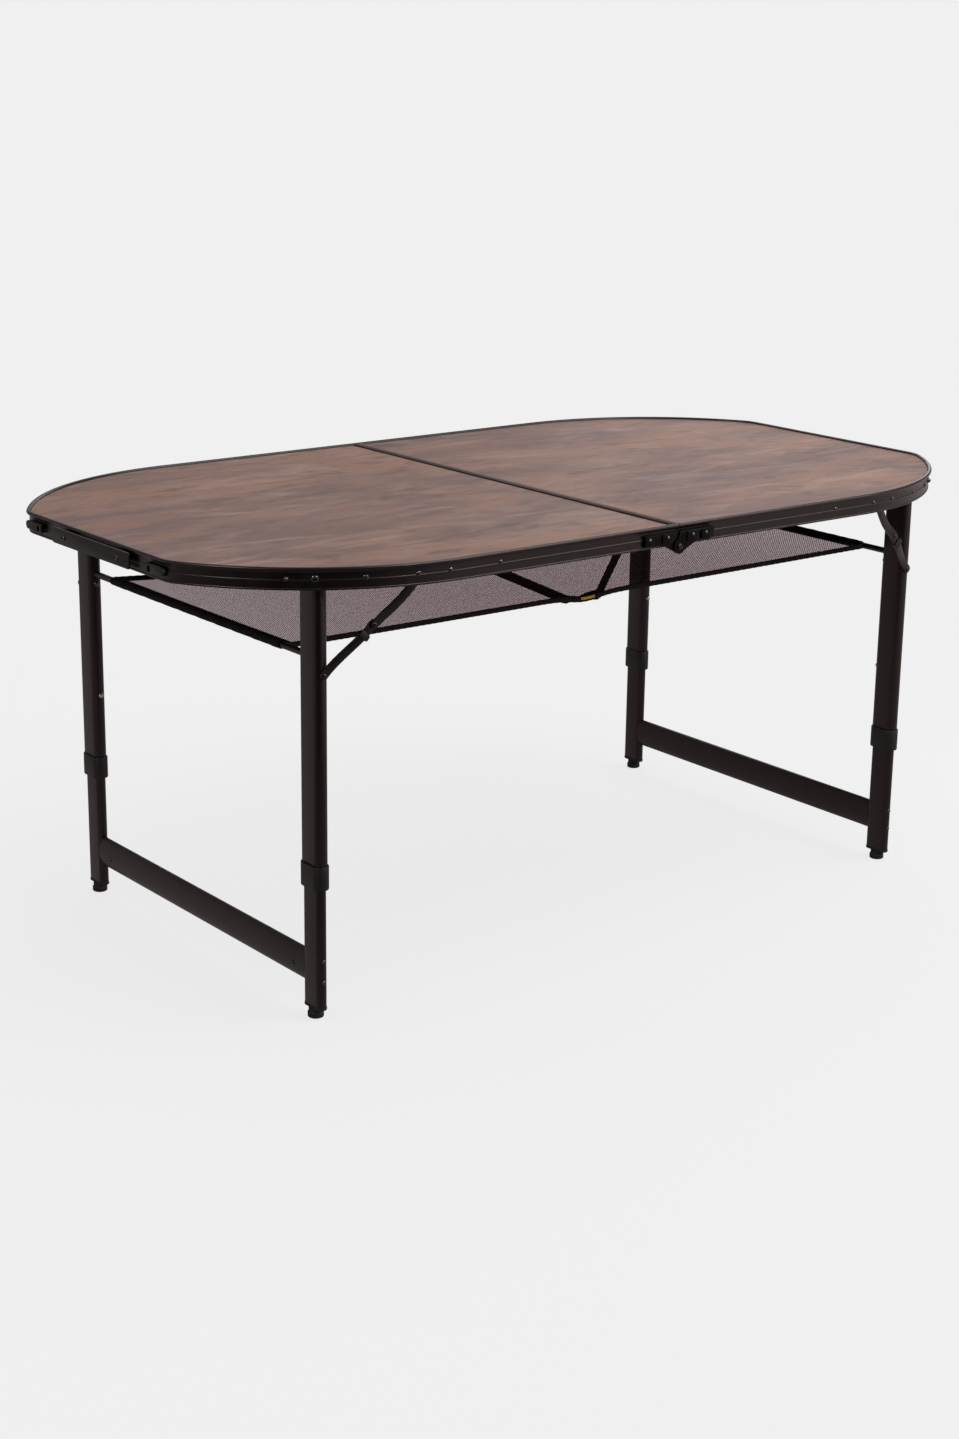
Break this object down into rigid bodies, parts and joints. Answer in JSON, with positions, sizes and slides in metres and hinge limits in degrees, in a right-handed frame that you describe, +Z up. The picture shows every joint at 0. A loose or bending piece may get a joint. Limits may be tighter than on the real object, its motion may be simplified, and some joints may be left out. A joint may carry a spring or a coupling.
{
  "type": "folding camp kitchen table",
  "caption": "Folding camp table with an oval wood-print top in two hinged halves, folding height-set leg frames with braces and a storage net slung below.",
  "frame": {"origin": "on the floor under the middle of the table top", "axes": "+X along the long side away from the handle end, +Y towards the rear long side, +Z up"},
  "size_m": [1.5108, 0.8488, 0.6749],
  "materials": {
    "top_print": "grey-brown wood-grain print, satin",
    "seam_metal": "dark grey satin",
    "rail_metal": "near-black satin powder coat",
    "leg_metal": "near-black satin powder coat",
    "brace_metal": "near-black satin powder coat",
    "bright_steel": "bright zinc-plated steel",
    "black_plastic": "matte black moulded plastic",
    "foot_plastic": "matte black moulded plastic",
    "net_mesh": "grey open mesh fabric",
    "black_webbing": "black woven webbing",
    "yellow_webbing": "plain yellow woven tab"
  },
  "bodies": {
    "left_half": {"panel_left": "top_print", "edge_rail_left": "rail_metal", "seam_rail_left": "seam_metal", "hinge_leaf_left_front": "rail_metal", "hinge_leaf_left_rear": "rail_metal", "leg_bracket_left_front": "rail_metal", "leg_bracket_left_rear": "rail_metal", "hinge_pin_front": "bright_steel", "hinge_pin_rear": "bright_steel", "handle_strap": "black_plastic", "handle_spacer_front": "black_plastic", "handle_spacer_rear": "black_plastic", "storage_net": "net_mesh", "net_strap_front": "black_webbing", "net_strap_rear": "black_webbing", "net_tab": "yellow_webbing"},
    "right_half": {"panel_right": "top_print", "edge_rail_right": "rail_metal", "seam_rail_right": "seam_metal", "hinge_leaf_right_front": "rail_metal", "hinge_leaf_right_rear": "rail_metal", "leg_bracket_right_front": "rail_metal", "leg_bracket_right_rear": "rail_metal", "latch_keeper_front": "black_plastic", "latch_keeper_rear": "black_plastic"},
    "leg_frame_left": {"upper_leg_left_front": "leg_metal", "upper_leg_left_rear": "leg_metal", "leg_collar_left_front": "black_plastic", "leg_collar_left_rear": "black_plastic", "net_rod_left": "leg_metal"},
    "foot_frame_left": {"lower_leg_left_front": "leg_metal", "lower_leg_left_rear": "leg_metal", "foot_bar_left": "leg_metal"},
    "foot_left_front": {"leveling_foot_left_front": "foot_plastic"},
    "button_left_front": {"snap_button_left_front": "bright_steel"},
    "brace_upper_left_front": {"brace_upper_left_front": "brace_metal"},
    "brace_lower_left_front": {"brace_lower_left_front": "brace_metal"},
    "foot_left_rear": {"leveling_foot_left_rear": "foot_plastic"},
    "button_left_rear": {"snap_button_left_rear": "bright_steel"},
    "brace_upper_left_rear": {"brace_upper_left_rear": "brace_metal"},
    "brace_lower_left_rear": {"brace_lower_left_rear": "brace_metal"},
    "leg_frame_right": {"upper_leg_right_front": "leg_metal", "upper_leg_right_rear": "leg_metal", "leg_collar_right_front": "black_plastic", "leg_collar_right_rear": "black_plastic", "net_rod_right": "leg_metal"},
    "foot_frame_right": {"lower_leg_right_front": "leg_metal", "lower_leg_right_rear": "leg_metal", "foot_bar_right": "leg_metal"},
    "foot_right_front": {"leveling_foot_right_front": "foot_plastic"},
    "button_right_front": {"snap_button_right_front": "bright_steel"},
    "brace_upper_right_front": {"brace_upper_right_front": "brace_metal"},
    "brace_lower_right_front": {"brace_lower_right_front": "brace_metal"},
    "foot_right_rear": {"leveling_foot_right_rear": "foot_plastic"},
    "button_right_rear": {"snap_button_right_rear": "bright_steel"},
    "brace_upper_right_rear": {"brace_upper_right_rear": "brace_metal"},
    "brace_lower_right_rear": {"brace_lower_right_rear": "brace_metal"},
    "latch_front": {"case_latch_front": "black_plastic"},
    "latch_rear": {"case_latch_rear": "black_plastic"}
  },
  "joints": [
    {"name": "centre_fold", "type": "hinge", "parent": "left_half", "child": "right_half", "pos_m": [0, 0, 0.6405], "axis": [0, 1, 0], "range_deg": [0, 75], "deforming": ["storage_net", "net_strap_front", "net_strap_rear", "net_tab"]},
    {"name": "leg_fold_left", "type": "hinge", "parent": "left_half", "child": "leg_frame_left", "pos_m": [-0.585, 0, 0.6485], "axis": [0, -1, 0], "range_deg": [0, 90], "deforming": ["storage_net", "net_strap_front", "net_strap_rear", "net_tab"]},
    {"name": "leg_slide_left", "type": "slide", "parent": "leg_frame_left", "child": "foot_frame_left", "axis": [0, 0, 1], "range_m": [0, 0.09]},
    {"name": "foot_turn_left_front", "type": "hinge", "parent": "foot_frame_left", "child": "foot_left_front", "pos_m": [-0.585, -0.319, 0], "axis": [0, 0, 1], "continuous": true},
    {"name": "button_press_left_front", "type": "slide", "parent": "leg_frame_left", "child": "button_left_front", "axis": [0, -1, 0], "range_m": [0, 0.003], "stiffness_N_per_m": 400},
    {"name": "brace_rail_pivot_left_front", "type": "hinge", "parent": "left_half", "child": "brace_upper_left_front", "pos_m": [-0.452, 0, 0.6565], "axis": [0, -1, 0], "range_deg": [-45.8, 0]},
    {"name": "brace_leg_pivot_left_front", "type": "hinge", "parent": "leg_frame_left", "child": "brace_lower_left_front", "pos_m": [-0.585, 0, 0.517], "axis": [0, -1, 0], "range_deg": [0, 39.6]},
    {"name": "foot_turn_left_rear", "type": "hinge", "parent": "foot_frame_left", "child": "foot_left_rear", "pos_m": [-0.585, 0.319, 0], "axis": [0, 0, 1], "continuous": true},
    {"name": "button_press_left_rear", "type": "slide", "parent": "leg_frame_left", "child": "button_left_rear", "axis": [0, 1, 0], "range_m": [0, 0.003], "stiffness_N_per_m": 400},
    {"name": "brace_rail_pivot_left_rear", "type": "hinge", "parent": "left_half", "child": "brace_upper_left_rear", "pos_m": [-0.452, 0, 0.6565], "axis": [0, -1, 0], "range_deg": [-45.8, 0]},
    {"name": "brace_leg_pivot_left_rear", "type": "hinge", "parent": "leg_frame_left", "child": "brace_lower_left_rear", "pos_m": [-0.585, 0, 0.517], "axis": [0, -1, 0], "range_deg": [0, 39.6]},
    {"name": "leg_fold_right", "type": "hinge", "parent": "right_half", "child": "leg_frame_right", "pos_m": [0.585, 0, 0.6485], "axis": [0, 1, 0], "range_deg": [0, 90], "deforming": ["storage_net", "net_strap_front", "net_strap_rear", "net_tab"]},
    {"name": "leg_slide_right", "type": "slide", "parent": "leg_frame_right", "child": "foot_frame_right", "axis": [0, 0, 1], "range_m": [0, 0.09]},
    {"name": "foot_turn_right_front", "type": "hinge", "parent": "foot_frame_right", "child": "foot_right_front", "pos_m": [0.585, -0.319, 0], "axis": [0, 0, 1], "continuous": true},
    {"name": "button_press_right_front", "type": "slide", "parent": "leg_frame_right", "child": "button_right_front", "axis": [0, -1, 0], "range_m": [0, 0.003], "stiffness_N_per_m": 400},
    {"name": "brace_rail_pivot_right_front", "type": "hinge", "parent": "right_half", "child": "brace_upper_right_front", "pos_m": [0.452, 0, 0.6565], "axis": [0, 1, 0], "range_deg": [-45.8, 0]},
    {"name": "brace_leg_pivot_right_front", "type": "hinge", "parent": "leg_frame_right", "child": "brace_lower_right_front", "pos_m": [0.585, 0, 0.517], "axis": [0, 1, 0], "range_deg": [0, 39.6]},
    {"name": "foot_turn_right_rear", "type": "hinge", "parent": "foot_frame_right", "child": "foot_right_rear", "pos_m": [0.585, 0.319, 0], "axis": [0, 0, 1], "continuous": true},
    {"name": "button_press_right_rear", "type": "slide", "parent": "leg_frame_right", "child": "button_right_rear", "axis": [0, 1, 0], "range_m": [0, 0.003], "stiffness_N_per_m": 400},
    {"name": "brace_rail_pivot_right_rear", "type": "hinge", "parent": "right_half", "child": "brace_upper_right_rear", "pos_m": [0.452, 0, 0.6565], "axis": [0, 1, 0], "range_deg": [-45.8, 0]},
    {"name": "brace_leg_pivot_right_rear", "type": "hinge", "parent": "leg_frame_right", "child": "brace_lower_right_rear", "pos_m": [0.585, 0, 0.517], "axis": [0, 1, 0], "range_deg": [0, 39.6]},
    {"name": "latch_swing_front", "type": "hinge", "parent": "left_half", "child": "latch_front", "pos_m": [-0.7466, -0.194, 0.6565], "axis": [-1, 0, 0], "range_deg": [0, 90]},
    {"name": "latch_swing_rear", "type": "hinge", "parent": "left_half", "child": "latch_rear", "pos_m": [-0.7466, 0.194, 0.6565], "axis": [1, 0, 0], "range_deg": [0, 90]}
  ],
  "couplings": [
    {"joint": "brace_rail_pivot_left_front", "follows": "leg_fold_left", "ratio": -0.50786},
    {"joint": "brace_leg_pivot_left_front", "follows": "leg_fold_left", "ratio": 0.439},
    {"joint": "brace_rail_pivot_left_rear", "follows": "leg_fold_left", "ratio": -0.50786},
    {"joint": "brace_leg_pivot_left_rear", "follows": "leg_fold_left", "ratio": 0.439},
    {"joint": "brace_rail_pivot_right_front", "follows": "leg_fold_right", "ratio": -0.50786},
    {"joint": "brace_leg_pivot_right_front", "follows": "leg_fold_right", "ratio": 0.439},
    {"joint": "brace_rail_pivot_right_rear", "follows": "leg_fold_right", "ratio": -0.50786},
    {"joint": "brace_leg_pivot_right_rear", "follows": "leg_fold_right", "ratio": 0.439}
  ]
}
